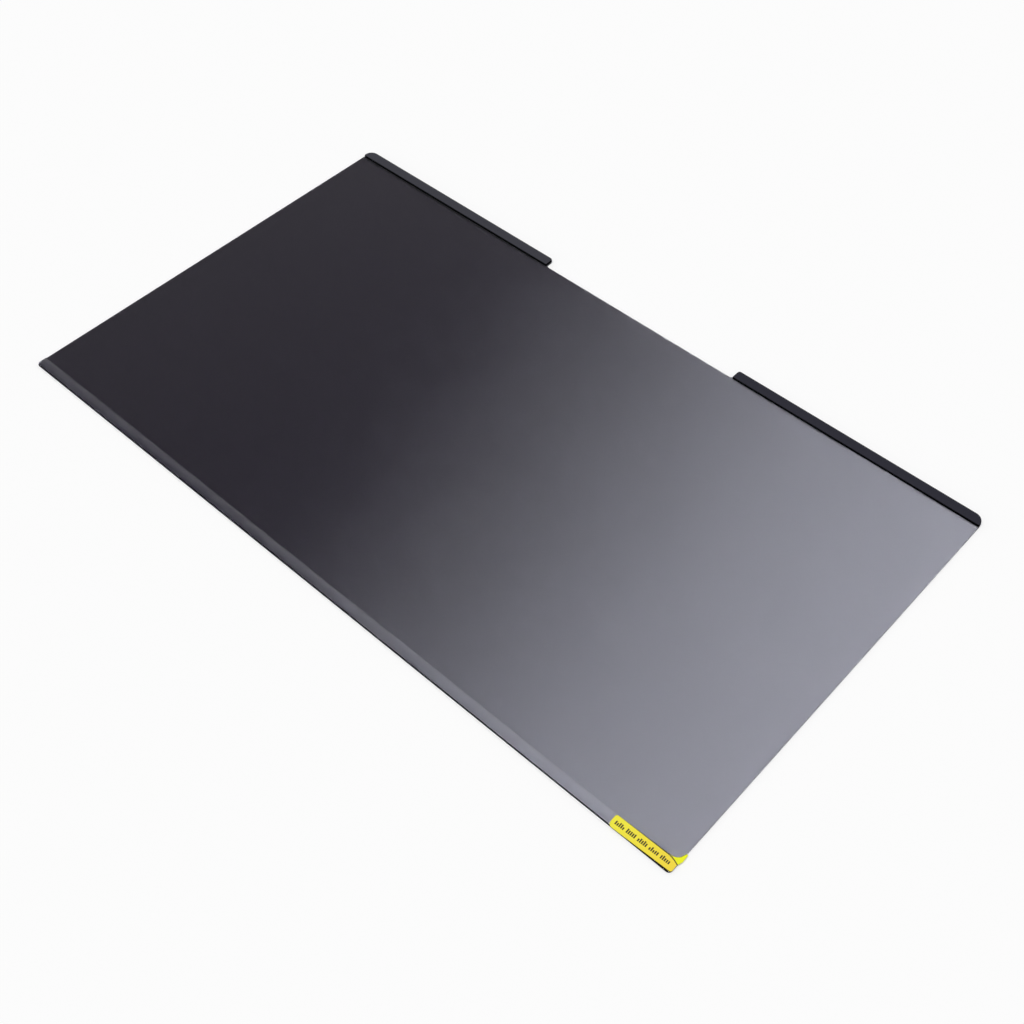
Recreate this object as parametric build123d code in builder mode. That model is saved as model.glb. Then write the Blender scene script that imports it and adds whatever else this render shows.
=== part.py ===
from build123d import *
import os

# A privacy filter for a 15.6 inch 16:9 laptop screen, in millimetres.
# It lies flat on Z = 0 with its magnet bars at +Y, and the origin is under the middle of the film's outline.

# Film: one die-cut sheet with an ear at each end of its far edge and a camera notch between the ears
panel_width = 344.0
panel_depth = 194.0
film_thickness = 0.5
near_corner_radius = 1.5
notch_corner_radius = 1.5

# Magnet bars, one bonded on each ear, flush with the floor of the notch on their near side
bar_length = 119.0
bar_width = 4.75
bar_thickness = 1.2
bar_margin = 0.2
bar_outer_radius = 4.0
bar_inner_radius = 1.2
bar_near_radius = 0.4
bar_edge_radius = 0.25

# Fixing strip, bonded on the film along the whole near edge
strip_width = 4.8
strip_thickness = 0.3
strip_far_radius = 0.3

# Peel label, stuck on by hand over the right end of the strip, askew and past the sheet's edge in places
label_length = 26.1
label_width = 4.9
label_thickness = 0.12
label_tilt = 1.85
label_near_gap = 0.58
label_side_overhang = 0.1
label_end_radius = 1.6
label_corner_radius = 0.9

# Tail of the label, a free tongue to grip that tapers up along the right edge and a little past it
tail_reach = 3.6
tail_root_width = 2.0
tail_tip_width = 0.6
tail_overhang = 0.8
tail_shoulder = 1.8
tail_shoulder_rise = 2.2
tail_shoulder_radius = 1.5
tail_root_radius = 3.5
tail_tip_radius = 0.25

# Places that follow from the sizes above
ear_depth = bar_width + bar_margin
ear_length = bar_length + 2 * bar_margin
overall_depth = panel_depth + ear_depth
side_x = panel_width / 2
near_y = -overall_depth / 2
notch_y = near_y + panel_depth
ear_y = notch_y + ear_depth
ear_inner_x = side_x - ear_length
strip_top = film_thickness + strip_thickness
tail_top = label_width + tail_reach
tail_root_x = tail_overhang - tail_root_width
tail_tip_x = tail_overhang - tail_tip_width
shoulder_y = label_width - tail_shoulder

os.makedirs("parts", exist_ok=True)

# Film sheet, outlined from its near left corner; the ear corners are concentric with the bars on them
with BuildPart() as privacy_film:
    with BuildSketch():
        with BuildLine():
            FilletPolyline(
                (-side_x, near_y),
                (side_x, near_y),
                (side_x, ear_y),
                (ear_inner_x, ear_y),
                (ear_inner_x, notch_y),
                (-ear_inner_x, notch_y),
                (-ear_inner_x, ear_y),
                (-side_x, ear_y),
                radius=[
                    near_corner_radius,
                    near_corner_radius,
                    bar_outer_radius + bar_margin,
                    bar_inner_radius + bar_margin,
                    notch_corner_radius,
                    notch_corner_radius,
                    bar_inner_radius + bar_margin,
                    bar_outer_radius + bar_margin,
                ],
                close=True,
            )
        make_face()
    extrude(amount=film_thickness)

privacy_film.part.label = "privacy_film"
export_step(privacy_film.part, "parts/privacy_film.step")

# Magnet bars, mirror images with a large outer far corner and a softened top edge
for node, side in (("left_magnet_bar", -1), ("right_magnet_bar", 1)):
    bar_outer_x = side * (side_x - bar_margin)
    bar_inner_x = side * (ear_inner_x + bar_margin)
    bar_far_y = notch_y + bar_width
    with BuildPart() as magnet_bar:
        with BuildSketch(Plane.XY.offset(film_thickness)):
            with BuildLine():
                FilletPolyline(
                    (bar_inner_x, notch_y),
                    (bar_outer_x, notch_y),
                    (bar_outer_x, bar_far_y),
                    (bar_inner_x, bar_far_y),
                    radius=[bar_near_radius, bar_near_radius, bar_outer_radius, bar_inner_radius],
                    close=True,
                )
            make_face()
        extrude(amount=bar_thickness)
        fillet(magnet_bar.edges().group_by(Axis.Z)[-1], radius=bar_edge_radius)
    magnet_bar.part.label = node
    export_step(magnet_bar.part, f"parts/{node}.step")

# Fixing strip, flush with the film's near edge and its two near corners
with BuildPart() as bottom_strip:
    with BuildSketch(Plane.XY.offset(film_thickness)):
        with BuildLine():
            FilletPolyline(
                (-side_x, near_y),
                (side_x, near_y),
                (side_x, near_y + strip_width),
                (-side_x, near_y + strip_width),
                radius=[near_corner_radius, near_corner_radius, strip_far_radius, strip_far_radius],
                close=True,
            )
        make_face()
    extrude(amount=strip_thickness)

bottom_strip.part.label = "bottom_strip"
export_step(bottom_strip.part, "parts/bottom_strip.step")

# Peel label, drawn on the strip's top face from its lower right corner; the tail's root is a wide sweep
label_corner = (side_x + label_side_overhang, near_y + label_near_gap, strip_top)
label_plane = Plane(origin=label_corner).rotated((0, 0, label_tilt))
with BuildPart() as peel_label:
    with BuildSketch(label_plane):
        with BuildLine():
            FilletPolyline(
                (-label_length, 0),
                (0, 0),
                (0, shoulder_y),
                (tail_overhang, shoulder_y + tail_shoulder_rise),
                (tail_overhang, tail_top),
                (tail_tip_x, tail_top),
                (tail_root_x, label_width),
                (-label_length, label_width),
                radius=[
                    label_end_radius,
                    label_corner_radius,
                    tail_shoulder_radius,
                    tail_shoulder_radius,
                    tail_tip_radius,
                    tail_tip_radius,
                    tail_root_radius,
                    label_corner_radius,
                ],
                close=True,
            )
        make_face()
    extrude(amount=label_thickness)

peel_label.part.label = "peel_label"
export_step(peel_label.part, "parts/peel_label.step")
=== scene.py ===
import math

import bmesh
import bpy
from mathutils import Matrix, Quaternion, Vector


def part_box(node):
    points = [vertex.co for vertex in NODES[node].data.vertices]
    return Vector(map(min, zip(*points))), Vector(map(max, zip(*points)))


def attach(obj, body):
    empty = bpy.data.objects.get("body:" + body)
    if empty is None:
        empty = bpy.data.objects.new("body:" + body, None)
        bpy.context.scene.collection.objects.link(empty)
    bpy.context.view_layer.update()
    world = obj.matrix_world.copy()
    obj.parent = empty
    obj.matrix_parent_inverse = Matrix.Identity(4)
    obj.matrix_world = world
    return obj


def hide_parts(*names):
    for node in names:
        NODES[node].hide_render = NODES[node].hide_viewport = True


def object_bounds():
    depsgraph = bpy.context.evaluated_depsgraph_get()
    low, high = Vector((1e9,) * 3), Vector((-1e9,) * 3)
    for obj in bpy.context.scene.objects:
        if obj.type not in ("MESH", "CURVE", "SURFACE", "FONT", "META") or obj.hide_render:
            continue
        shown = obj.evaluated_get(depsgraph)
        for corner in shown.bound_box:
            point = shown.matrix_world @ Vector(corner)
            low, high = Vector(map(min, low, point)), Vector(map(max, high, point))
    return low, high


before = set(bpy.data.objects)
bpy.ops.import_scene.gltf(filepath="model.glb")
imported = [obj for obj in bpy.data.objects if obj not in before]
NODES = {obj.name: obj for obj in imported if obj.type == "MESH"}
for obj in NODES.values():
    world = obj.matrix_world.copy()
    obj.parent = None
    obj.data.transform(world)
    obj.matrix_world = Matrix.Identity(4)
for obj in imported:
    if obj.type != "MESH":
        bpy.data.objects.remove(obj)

CAD_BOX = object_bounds()
MM = 0.001

# Camera: where the photograph was taken from, aimed at a point on the table
CAMERA_AIM = Vector((32.42, -22.13, 0.0)) * MM
CAMERA_DISTANCE = 550.6 * MM
CAMERA_AZIMUTH = math.radians(42.08)
CAMERA_ELEVATION = math.radians(51.23)
CAMERA_ROLL = math.radians(0.28)
CAMERA_LENS = 49.29
CAMERA_SENSOR = 36.0
CAMERA_CLIP = 10.0 * MM

# Louvers: fine black walls that stand upright inside the clear film, a few degrees off the Y axis
LOUVER_PITCH = 0.12 * MM
LOUVER_THICKNESS = 0.004 * MM
LOUVER_HEIGHT = 0.2775 * MM
LOUVER_LENGTHS = 6
LOUVER_TURN = math.radians(6.15)
LOUVER_EDGE_GAP = 0.04 * MM
LOUVER_BLACK = (0.002, 0.002, 0.002, 1.0)

# Film's outline: how close points are merged, how straight edges are joined, how level its top is
MERGE_DISTANCE = 0.001 * MM
STRAIGHT_ANGLE = math.radians(0.5)
TOP_SLACK = 0.01 * MM

# Film: what it lets through, the share that its haze leaves clear, its sheen and its satin finish
FILM_TINT = (0.872, 0.875, 0.945, 1.0)
# Its cut sides are dark: the louvers show in its left and right ends, and along its near and far edges the
# dark is painted shade
FILM_CUT_AND_SHADE = (0.0, 0.0, 0.0, 1.0)
FILM_CLEARNESS = 0.9817
FILM_SHEEN = (0.26, 0.10, 0.50, 1.0)
FILM_IOR = 1.3
FILM_ROUGHNESS = (0.276, 0.292)
FILM_BLOTCH = 6.0 * MM

# Bars: matt black rubber, coated on top; their sides are black and nearly without shine, raw rubber in part
# and painted shade in part
# The left bar's top is given more shine than the right bar's, as painted reflection of the brighter light it
# mirrors
BAR_BLACK = (0.0015, 0.0015, 0.006, 1.0)
BAR_GREY = (0.010, 0.0095, 0.020, 1.0)
BAR_CUT_AND_SHADE = (0.0005, 0.0005, 0.0005, 1.0)
BAR_SHINE_WITH_PAINTED_REFLECTION = {"left_magnet_bar": 0.42, "right_magnet_bar": 0.24}
BAR_CUT_AND_SHADE_SHINE = 0.02
BAR_ROUGHNESS = (0.62, 0.72)
BAR_BLOTCH = 2.0 * MM
BAR_GRAIN = 0.5 * MM
BAR_GRAIN_DEPTH = 0.02 * MM
BAR_GRAIN_STRENGTH = 0.6

# Strip: milky film, held clear of what it lies between by a hair of air
# Its near edge is a dark line of painted shadow; it is clearest next to that, and it grows paler towards its
# far edge, more on its right than on its left, as a painted highlight
STRIP_TINT = (0.98, 0.985, 1.0, 1.0)
STRIP_PAINTED_SHADOW = (0.0, 0.0, 0.0, 1.0)
STRIP_SHADOW_BAND = 0.25 * MM
STRIP_CLEAR_BAND = 1.2 * MM
STRIP_LEFT_CLEARNESS = (0.999, 0.979)
STRIP_RIGHT_CLEARNESS = (0.989, 0.954)
STRIP_CHANGE = (-60.0 * MM, 110.0 * MM)
STRIP_ROUGHNESS = (0.77, 0.83)
STRIP_BLOTCH = 3.0 * MM
STRIP_IOR = 1.04
STRIP_AIR = 0.01 * MM

# Label: its lower right corner, measured from the film's, its tilt and its size
LABEL_SIDE_OVERHANG = 0.1 * MM
LABEL_NEAR_GAP = 0.58 * MM
LABEL_TILT = math.radians(1.85)
LABEL_LENGTH = 26.1 * MM
LABEL_WIDTH = 4.9 * MM

# Label's stock: yellow that turns golden to the right, mottled by its fibres, with a lemon tail
LABEL_YELLOW = (0.85, 0.785, 0.043, 1.0)
LABEL_GOLD = (0.865, 0.665, 0.043, 1.0)
LABEL_LEMON = (0.82, 0.85, 0.006, 1.0)
LABEL_DARK = (0.03, 0.02, 0.004, 1.0)
LABEL_MOTTLE = 0.3
LABEL_SHINE = 0.3
LABEL_ROUGHNESS = (0.42, 0.54)
LABEL_FIBRE = 0.8 * MM
LABEL_FIBRE_DEPTH = 0.01 * MM
LABEL_FIBRE_STRENGTH = 0.4

# Label's edge line: it follows the upper edge, thickens to the right and bends down before the right end
LINE_START = -24.0 * MM
LINE_BEND = -5.0 * MM
LINE_BEND_POWER = 2.0
LINE_DROP = 1.3 * MM
LINE_WIDTH = 0.4 * MM

# Label's marks: one row of plain blocks, uneven in height, in groups that end with one block left out
MARKS_FROM = -24.6 * MM
MARKS_TO = -1.3 * MM
MARKS_BASE = 1.6 * MM
MARKS_HEIGHT = (1.05 * MM, 1.85 * MM)
MARK_PITCH = 0.78 * MM
MARK_SHARE = 0.66
GROUP_STEPS = 6
GROUP_PITCH = GROUP_STEPS * MARK_PITCH
GROUP_SHARE = (GROUP_STEPS - 1) / GROUP_STEPS

# Studio: a white floor just under the part, an even white room, and a broad soft light from nearly overhead
FLOOR_SIZE = 6.0
FLOOR_DROP = 0.05 * MM
FLOOR_WHITE = (0.985, 0.985, 0.985, 1.0)
FLOOR_ROUGHNESS = 0.9
ROOM_WHITE = (1.0, 1.0, 1.0, 1.0)
ROOM_LIGHT = 0.35
KEY_STRENGTH = 2.04
KEY_ANGLE = math.radians(40)
KEY_FROM = Vector((0.0, -0.2, 1.0))

# Shader nodes: noise detail for fine grain, and the share of a normal along an axis that counts as facing it
FINE_DETAIL = 4.0
FACING_SHARE = 0.5

# A Mix node's colour sockets, by number because its other sockets have the same names
MIX_COLOURS = (6, 7)
MIX_RESULT = 2


# Node helpers
def new_material(name):
    """An empty node material with its output and one Principled shader, linked."""
    material = bpy.data.materials.new(name)
    material.use_nodes = True
    nodes = material.node_tree.nodes
    nodes.clear()
    output = nodes.new("ShaderNodeOutputMaterial")
    shader = nodes.new("ShaderNodeBsdfPrincipled")
    material.node_tree.links.new(shader.outputs["BSDF"], output.inputs["Surface"])
    return material, shader


def feed(socket, value):
    """Links a socket to another node's output, or sets it to a plain value."""
    if isinstance(value, bpy.types.NodeSocket):
        socket.id_data.links.new(value, socket)
    else:
        socket.default_value = value


def set_inputs(node, **values):
    """Feeds a node's sockets; a socket's name is written with _ for each space."""
    for name, value in values.items():
        feed(node.inputs[name.replace("_", " ")], value)


def add_node(tree, kind, **values):
    """A new shader node with its sockets fed."""
    node = tree.nodes.new("ShaderNode" + kind)
    set_inputs(node, **values)
    return node


def compute(tree, operation, *terms):
    """A Math node's result; each term is a number or another node's output."""
    node = tree.nodes.new("ShaderNodeMath")
    node.operation = operation
    for socket, term in zip(node.inputs, terms):
        feed(socket, term)
    return node.outputs[0]


def noise(tree, grain, detail=2.0):
    """Noise from 0 to 1 whose blotches are about grain metres across."""
    place = add_node(tree, "TexCoord").outputs["Object"]
    return add_node(tree, "TexNoise", Vector=place, Scale=1 / grain, Detail=detail).outputs["Fac"]


def spread(tree, value, low, high, start=0.0, end=1.0):
    """Maps a value that runs from start to end onto low to high."""
    node = add_node(tree, "MapRange", Value=value, From_Min=start, From_Max=end, To_Min=low, To_Max=high)
    return node.outputs["Result"]


def blend_colour(tree, share, first, second):
    """Mixes two colours; each is a tuple or another node's output."""
    node = tree.nodes.new("ShaderNodeMix")
    node.data_type = "RGBA"
    set_inputs(node, Factor=share)
    for number, colour in zip(MIX_COLOURS, (first, second)):
        feed(node.inputs[number], colour)
    return node.outputs[MIX_RESULT]


def within(tree, value, low, high):
    """1 where the value lies between low and high, and 0 elsewhere."""
    above = compute(tree, "GREATER_THAN", value, low)
    return compute(tree, "MULTIPLY", above, compute(tree, "LESS_THAN", value, high))


def facing(tree, axis):
    """A face's slant to an axis, from -1 where it faces against the axis to 1 where it faces along it."""
    normal = add_node(tree, "NewGeometry").outputs["True Normal"]
    return add_node(tree, "SeparateXYZ", Vector=normal).outputs[axis]


def on_sides(tree):
    """1 on a piece's upright sides, and 0 on its flat faces."""
    return compute(tree, "LESS_THAN", compute(tree, "ABSOLUTE", facing(tree, "Z")), FACING_SHARE)


def bump(tree, height, depth, strength):
    """A normal for a surface that rises by depth metres where height is 1."""
    return add_node(tree, "Bump", Height=height, Distance=depth, Strength=strength).outputs["Normal"]


# Mesh helpers
def add_mesh(name, vertices, faces):
    """A new mesh object in the scene."""
    mesh = bpy.data.meshes.new(name)
    mesh.from_pydata(vertices, [], faces)
    mesh.update()
    piece = bpy.data.objects.new(name, mesh)
    bpy.context.scene.collection.objects.link(piece)
    return piece


def dress(piece, material):
    """Gives a piece one material all over."""
    piece.data.materials.clear()
    piece.data.materials.append(material)


# Materials
def film_material():
    """Clear, bluish film: satin faces that scatter and mirror a little light, and dark cut sides, where the
    louvers show at its left and right ends and painted shade along its near and far edges.
    """
    material, shader = new_material("louver_film_clear")
    tree = material.node_tree
    roughness = spread(tree, noise(tree, FILM_BLOTCH), *FILM_ROUGHNESS)
    colour = blend_colour(tree, on_sides(tree), FILM_TINT, FILM_CUT_AND_SHADE)
    set_inputs(shader, Base_Color=colour, Roughness=roughness, IOR=FILM_IOR, Specular_Tint=FILM_SHEEN)
    set_inputs(shader, Transmission_Weight=FILM_CLEARNESS)
    return material


def louver_material():
    """Carbon black, bonded into the film, so that it has no shine of its own."""
    material, shader = new_material("louver_black")
    set_inputs(shader, Base_Color=LOUVER_BLACK, Roughness=1.0, Specular_IOR_Level=0.0)
    return material


def bar_material(shine_with_painted_reflection):
    """Matt black magnet rubber: a finely grained top with a little shine, and sides made black and nearly
    without shine, raw rubber in part and painted shade in part.
    """
    material, shader = new_material("magnet_rubber_black")
    tree = material.node_tree
    grain = noise(tree, BAR_GRAIN, FINE_DETAIL)
    # The sides are made black and nearly without shine: raw rubber in part, painted shade in part
    sides = on_sides(tree)
    colour = blend_colour(tree, sides, blend_colour(tree, grain, BAR_BLACK, BAR_GREY), BAR_CUT_AND_SHADE)
    roughness = spread(tree, noise(tree, BAR_BLOTCH), *BAR_ROUGHNESS)
    normal = bump(tree, grain, BAR_GRAIN_DEPTH, BAR_GRAIN_STRENGTH)
    set_inputs(shader, Base_Color=colour, Roughness=roughness, Normal=normal)
    # The top's shine is given per bar; the left bar's larger share is painted reflection
    set_inputs(shader, Specular_IOR_Level=spread(tree, sides, shine_with_painted_reflection, BAR_CUT_AND_SHADE_SHINE))
    return material


def strip_material():
    """Milky film with a haze that grows to its far edge and its right end as a painted highlight, and
    painted shadow on its sides, apart from its far one, and along the near edge of its top.
    """
    low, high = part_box("bottom_strip")
    material, shader = new_material("strip_haze_and_painted_highlight")
    tree = material.node_tree
    place = add_node(tree, "SeparateXYZ", Vector=add_node(tree, "TexCoord").outputs["Object"]).outputs
    # Clearness that falls towards the far edge and the right end: a painted highlight
    left = spread(tree, place["Y"], *STRIP_LEFT_CLEARNESS, low.y + STRIP_CLEAR_BAND, high.y)
    right = spread(tree, place["Y"], *STRIP_RIGHT_CLEARNESS, low.y + STRIP_CLEAR_BAND, high.y)
    clearness = spread(tree, place["X"], left, right, *STRIP_CHANGE)
    # Painted shadow: the sides apart from the far one, and a narrow band of the top along the near edge
    not_far = compute(tree, "LESS_THAN", facing(tree, "Y"), FACING_SHARE)
    shadowed_sides = compute(tree, "MULTIPLY", on_sides(tree), not_far)
    painted_shadow = compute(tree, "MAXIMUM", shadowed_sides, compute(tree, "LESS_THAN", place["Y"], low.y + STRIP_SHADOW_BAND))
    colour = blend_colour(tree, painted_shadow, STRIP_TINT, STRIP_PAINTED_SHADOW)
    roughness = spread(tree, noise(tree, STRIP_BLOTCH), *STRIP_ROUGHNESS)
    set_inputs(shader, Base_Color=colour, Roughness=roughness, IOR=STRIP_IOR)
    set_inputs(shader, Transmission_Weight=clearness)
    return material


def label_place(tree):
    """Distances along and across the label from its lower right corner."""
    low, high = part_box("privacy_film")
    corner = (high.x + LABEL_SIDE_OVERHANG, low.y + LABEL_NEAR_GAP, 0.0)
    place = add_node(tree, "TexCoord").outputs["Object"]
    local = add_node(tree, "Mapping", Vector=place, Location=corner, Rotation=(0.0, 0.0, LABEL_TILT))
    local.vector_type = "TEXTURE"
    split = add_node(tree, "SeparateXYZ", Vector=local.outputs["Vector"]).outputs
    return split["X"], split["Y"]


def label_marks(tree, along, across):
    """1 on the printed blocks; a random number for each block sets its height."""
    run = compute(tree, "SUBTRACT", along, MARKS_FROM)
    step = compute(tree, "DIVIDE", run, MARK_PITCH)
    chance = tree.nodes.new("ShaderNodeTexWhiteNoise")
    chance.noise_dimensions = "1D"
    set_inputs(chance, W=compute(tree, "FLOOR", step))
    height = spread(tree, chance.outputs["Value"], *MARKS_HEIGHT)
    row = within(tree, compute(tree, "SUBTRACT", across, MARKS_BASE), 0.0, height)
    block = compute(tree, "LESS_THAN", compute(tree, "FRACT", step), MARK_SHARE)
    group = compute(tree, "FRACT", compute(tree, "DIVIDE", run, GROUP_PITCH))
    marks = within(tree, along, MARKS_FROM, MARKS_TO)
    for part in (row, block, compute(tree, "LESS_THAN", group, GROUP_SHARE)):
        marks = compute(tree, "MULTIPLY", marks, part)
    return marks


def label_material():
    """Label stock: a yellow band with a dark line on its edge and a row of marks, and a lemon tail."""
    material, shader = new_material("label_yellow")
    tree = material.node_tree
    along, across = label_place(tree)
    bend = compute(tree, "POWER", spread(tree, along, 0.0, 1.0, LINE_BEND, 0.0), LINE_BEND_POWER)
    edge = compute(tree, "SUBTRACT", LABEL_WIDTH, compute(tree, "MULTIPLY", bend, LINE_DROP))
    width = spread(tree, along, 0.0, LINE_WIDTH, LINE_START, LINE_BEND)
    line = within(tree, across, compute(tree, "SUBTRACT", edge, width), edge)
    # One dark colour for the line along the upper edge and for the printed marks
    dark_line_and_marks = compute(tree, "MAXIMUM", line, label_marks(tree, along, across))
    tail = compute(tree, "GREATER_THAN", across, edge)
    fibre = noise(tree, LABEL_FIBRE, FINE_DETAIL)
    rightward = spread(tree, along, 0.0, 1.0, -LABEL_LENGTH, 0.0)
    golden = compute(tree, "ADD", rightward, spread(tree, fibre, -LABEL_MOTTLE, LABEL_MOTTLE))
    stock = blend_colour(tree, golden, LABEL_YELLOW, LABEL_GOLD)
    stock = blend_colour(tree, tail, stock, LABEL_LEMON)
    colour = blend_colour(tree, dark_line_and_marks, stock, LABEL_DARK)
    roughness = spread(tree, fibre, *LABEL_ROUGHNESS)
    normal = bump(tree, fibre, LABEL_FIBRE_DEPTH, LABEL_FIBRE_STRENGTH)
    set_inputs(shader, Base_Color=colour, Roughness=roughness, Normal=normal)
    set_inputs(shader, Specular_IOR_Level=LABEL_SHINE)
    return material


# Louvers inside the film
def film_outline():
    """Edges of the film's top face, as pairs of points."""
    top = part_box("privacy_film")[1].z
    shape = bmesh.new()
    shape.from_mesh(NODES["privacy_film"].data)
    bmesh.ops.remove_doubles(shape, verts=shape.verts, dist=MERGE_DISTANCE)
    bmesh.ops.dissolve_limit(shape, angle_limit=STRAIGHT_ANGLE, verts=shape.verts, edges=shape.edges)
    outline = []
    for edge in shape.edges:
        a, b = (v.co.copy() for v in edge.verts)
        if min(a.z, b.z) > top - TOP_SLACK:
            outline.append((a, b))
    shape.free()
    return outline


def stretches(outline, x):
    """Where the line at x lies inside the outline, as pairs of y."""
    crossings = []
    for a, b in outline:
        if min(a.x, b.x) <= x < max(a.x, b.x):
            crossings.append(a.y + (b.y - a.y) * (x - a.x) / (b.x - a.x))
    crossings.sort()
    return list(zip(crossings[::2], crossings[1::2]))


def add_slat(vertices, faces, x, y0, y1, z0, z1):
    """One louver, a thin upright wall of a few lengths end to end, in the louvers' own turned frame."""
    first = len(vertices)
    half = LOUVER_THICKNESS / 2
    for i in range(LOUVER_LENGTHS + 1):
        y = y0 + (y1 - y0) * i / LOUVER_LENGTHS
        vertices += [(x - half, y, z0), (x + half, y, z0), (x + half, y, z1), (x - half, y, z1)]
    # Each section has four corners; the first and last are closed, and sides join each to the next
    last = first + 4 * LOUVER_LENGTHS
    faces.append((first, first + 1, first + 2, first + 3))
    for n in range(first, last, 4):
        for a, b in ((0, 1), (1, 2), (2, 3), (3, 0)):
            faces.append((n + b, n + a, n + a + 4, n + b + 4))
    faces.append((last + 3, last + 2, last + 1, last))


def make_louvers():
    """Every louver of the film, each cut to the film's outline and held inside its two faces."""
    low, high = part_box("privacy_film")
    turn = Matrix.Rotation(LOUVER_TURN, 4, "Z")
    outline = [(turn.inverted() @ a, turn.inverted() @ b) for a, b in film_outline()]
    middle = (low.z + high.z) / 2
    z0, z1 = middle - LOUVER_HEIGHT / 2, middle + LOUVER_HEIGHT / 2
    reach = max(a.x for a, b in outline)
    count = int(reach / LOUVER_PITCH)
    side = LOUVER_THICKNESS / 2 + LOUVER_EDGE_GAP / 2
    vertices, faces = [], []
    for i in range(-count, count + 1):
        x = i * LOUVER_PITCH
        left, right = stretches(outline, x - side), stretches(outline, x + side)
        for (a0, a1), (b0, b1) in zip(left, right):
            y0, y1 = max(a0, b0) + LOUVER_EDGE_GAP, min(a1, b1) - LOUVER_EDGE_GAP
            if y1 > y0:
                add_slat(vertices, faces, x, y0, y1, z0, z1)
    louvers = add_mesh("film_louvers", [turn @ Vector(v) for v in vertices], faces)
    dress(louvers, louver_material())
    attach(louvers, "root")


# Strip along the near edge
def make_strip():
    """The strip's own solid, thinned by a hair of air on both faces so that no clear faces coincide."""
    low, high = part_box("bottom_strip")
    mesh = NODES["bottom_strip"].data.copy()
    middle, height = (low.z + high.z) / 2, high.z - low.z
    for vertex in mesh.vertices:
        vertex.co.z = middle + (vertex.co.z - middle) * (height - 2 * STRIP_AIR) / height
    strip = bpy.data.objects.new("near_strip", mesh)
    bpy.context.scene.collection.objects.link(strip)
    dress(strip, strip_material())
    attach(strip, "root")
    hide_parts("bottom_strip")


# Floor, room, light and camera
def add_floor():
    """A wide white floor a hair under the part."""
    half = FLOOR_SIZE / 2
    z = CAD_BOX[0][2] - FLOOR_DROP
    corners = [(-half, -half, z), (half, -half, z), (half, half, z), (-half, half, z)]
    floor = add_mesh("floor", corners, [(0, 1, 2, 3)])
    material, shader = new_material("floor_white")
    set_inputs(shader, Base_Color=FLOOR_WHITE, Roughness=FLOOR_ROUGHNESS, Specular_IOR_Level=0.0)
    dress(floor, material)


def add_world():
    """An even white room; it shows as plain white, also in gloss and through clear pieces."""
    world = bpy.data.worlds.new("studio")
    bpy.context.scene.world = world
    world.use_nodes = True
    tree = world.node_tree
    tree.nodes.clear()
    path = tree.nodes.new("ShaderNodeLightPath").outputs
    seen = compute(tree, "MAXIMUM", path["Is Camera Ray"], path["Is Glossy Ray"])
    seen = compute(tree, "MAXIMUM", seen, path["Is Transmission Ray"])
    strength = spread(tree, seen, ROOM_LIGHT, 1.0)
    background = add_node(tree, "Background", Color=ROOM_WHITE, Strength=strength)
    output = tree.nodes.new("ShaderNodeOutputWorld")
    tree.links.new(background.outputs[0], output.inputs["Surface"])


def add_key_light():
    """A broad soft light from nearly overhead."""
    data = bpy.data.lights.new("key_light", "SUN")
    data.energy = KEY_STRENGTH
    data.angle = KEY_ANGLE
    light = bpy.data.objects.new("key_light", data)
    light.rotation_euler = (-KEY_FROM).to_track_quat("-Z", "Y").to_euler()
    bpy.context.scene.collection.objects.link(light)


def add_camera():
    """The photograph's camera, level but for its small roll."""
    data = bpy.data.cameras.new("photo_camera")
    data.sensor_width = CAMERA_SENSOR
    data.lens = CAMERA_LENS
    data.clip_start = CAMERA_CLIP
    level_reach = math.cos(CAMERA_ELEVATION)
    outward = Vector((math.sin(CAMERA_AZIMUTH) * level_reach, -math.cos(CAMERA_AZIMUTH) * level_reach,
                      math.sin(CAMERA_ELEVATION)))
    camera = bpy.data.objects.new("photo_camera", data)
    camera.location = CAMERA_AIM + CAMERA_DISTANCE * outward
    level = (-outward).to_track_quat("-Z", "Y")
    camera.rotation_mode = "QUATERNION"
    camera.rotation_quaternion = level @ Quaternion((0, 0, 1), CAMERA_ROLL)
    bpy.context.scene.collection.objects.link(camera)
    bpy.context.scene.camera = camera


bpy.context.scene.view_settings.view_transform = "Standard"
dress(NODES["privacy_film"], film_material())
for bar, shine_with_painted_reflection in BAR_SHINE_WITH_PAINTED_REFLECTION.items():
    dress(NODES[bar], bar_material(shine_with_painted_reflection))
dress(NODES["peel_label"], label_material())
make_louvers()
make_strip()
add_floor()
add_world()
add_key_light()
add_camera()
